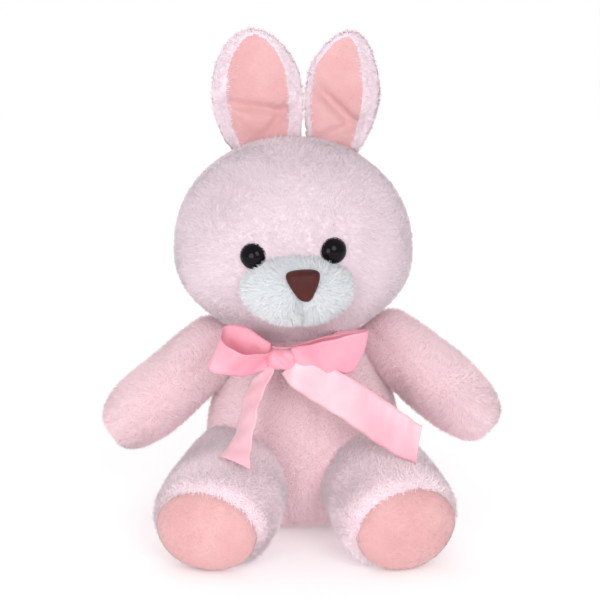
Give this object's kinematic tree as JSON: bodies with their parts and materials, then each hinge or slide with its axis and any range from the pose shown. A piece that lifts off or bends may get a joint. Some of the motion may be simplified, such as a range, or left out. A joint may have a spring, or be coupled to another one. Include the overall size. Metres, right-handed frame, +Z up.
{
  "type": "stuffed bunny rabbit",
  "caption": "Seated plush bunny with stuffed head, torso, arms and legs, upright lined ears, plastic eyes and nose, and a satin ribbon bow at the neck.",
  "frame": {"origin": "middle of the seat, on the floor", "axes": "+Z up, the face and feet towards -Y, +X to the right of a viewer who looks at the face"},
  "size_m": [0.1948, 0.1551, 0.2486],
  "materials": {
    "pink_fur": "matte",
    "white_fur": "matte",
    "salmon_velour": "matte",
    "fibre_filling": "matte",
    "backing_cloth": "matte",
    "black_plastic": "gloss",
    "brown_plastic": "satin",
    "washer_plastic": "matte",
    "pink_satin": "satin"
  },
  "bodies": {
    "torso": {"tail_cover": "pink_fur", "tail_stuffing": "fibre_filling", "torso_panel_back_left": "pink_fur", "torso_panel_back_right": "pink_fur", "torso_panel_front_left": "pink_fur", "torso_panel_front_right": "pink_fur", "torso_stuffing": "fibre_filling", "ribbon_collar": "pink_satin", "bow_knot": "pink_satin", "bow_loop_left": "pink_satin", "bow_loop_right": "pink_satin"},
    "neck": {"neck_seam_band": "backing_cloth"},
    "head": {"head_face_panel": "pink_fur", "head_back_panel": "pink_fur", "head_stuffing": "fibre_filling", "muzzle_cover": "white_fur", "muzzle_stuffing": "fibre_filling", "eye_left": "black_plastic", "eye_right": "black_plastic", "eye_washer_left": "washer_plastic", "eye_washer_right": "washer_plastic", "nose": "brown_plastic", "nose_washer": "washer_plastic"},
    "ear_left": {"ear_left_back": "pink_fur", "ear_left_lining": "salmon_velour"},
    "arm_left": {"arm_left_upper_panel": "pink_fur", "arm_left_lower_panel": "pink_fur", "arm_left_stuffing": "fibre_filling"},
    "leg_left": {"leg_left_upper_panel": "pink_fur", "leg_left_lower_panel": "pink_fur", "leg_left_sole": "salmon_velour", "leg_left_stuffing": "fibre_filling"},
    "ribbon_left": {"bow_tail_left": "pink_satin"},
    "ear_right": {"ear_right_back": "pink_fur", "ear_right_lining": "salmon_velour"},
    "arm_right": {"arm_right_upper_panel": "pink_fur", "arm_right_lower_panel": "pink_fur", "arm_right_stuffing": "fibre_filling"},
    "leg_right": {"leg_right_upper_panel": "pink_fur", "leg_right_lower_panel": "pink_fur", "leg_right_sole": "salmon_velour", "leg_right_stuffing": "fibre_filling"},
    "ribbon_right": {"bow_tail_right": "pink_satin"}
  },
  "joints": [
    {"name": "head_turn", "type": "hinge", "parent": "torso", "child": "neck", "pos_m": [-0.004, -0.004, 0.084], "axis": [0, 0, 1], "range_deg": [-25, 25], "stiffness_Nm_per_rad": 0.25},
    {"name": "head_nod", "type": "hinge", "parent": "neck", "child": "head", "pos_m": [-0.004, -0.004, 0.084], "axis": [1, 0, 0], "range_deg": [-12, 4], "stiffness_Nm_per_rad": 0.6},
    {"name": "ear_left_bend", "type": "hinge", "parent": "head", "child": "ear_left", "pos_m": [-0.02, 0.003, 0.186], "axis": [1, 0, 0], "range_deg": [-28, 28], "stiffness_Nm_per_rad": 0.02},
    {"name": "ear_right_bend", "type": "hinge", "parent": "head", "child": "ear_right", "pos_m": [0.014, 0.003, 0.187], "axis": [1, 0, 0], "range_deg": [-28, 28], "stiffness_Nm_per_rad": 0.02},
    {"name": "arm_left_raise", "type": "hinge", "parent": "torso", "child": "arm_left", "pos_m": [-0.044, -0.005, 0.087], "axis": [0, 1, 0], "range_deg": [-1, 60], "stiffness_Nm_per_rad": 0.06},
    {"name": "arm_right_raise", "type": "hinge", "parent": "torso", "child": "arm_right", "pos_m": [0.041, -0.005, 0.091], "axis": [0, -1, 0], "range_deg": [-1, 60], "stiffness_Nm_per_rad": 0.06},
    {"name": "leg_left_spread", "type": "hinge", "parent": "torso", "child": "leg_left", "pos_m": [-0.031, -0.013, 0.026], "axis": [0, 0, -1], "range_deg": [0, 20], "stiffness_Nm_per_rad": 0.1},
    {"name": "leg_right_spread", "type": "hinge", "parent": "torso", "child": "leg_right", "pos_m": [0.031, -0.011, 0.026], "axis": [0, 0, 1], "range_deg": [0, 20], "stiffness_Nm_per_rad": 0.1},
    {"name": "ribbon_left_lift", "type": "hinge", "parent": "torso", "child": "ribbon_left", "pos_m": [-0.017, -0.047, 0.0825], "axis": [-1, 0, 0], "range_deg": [0, 40]},
    {"name": "ribbon_right_lift", "type": "hinge", "parent": "torso", "child": "ribbon_right", "pos_m": [0.0015, -0.046, 0.077], "axis": [-0.3649, -0.0207, -0.9308], "range_deg": [0, 40]}
  ]
}
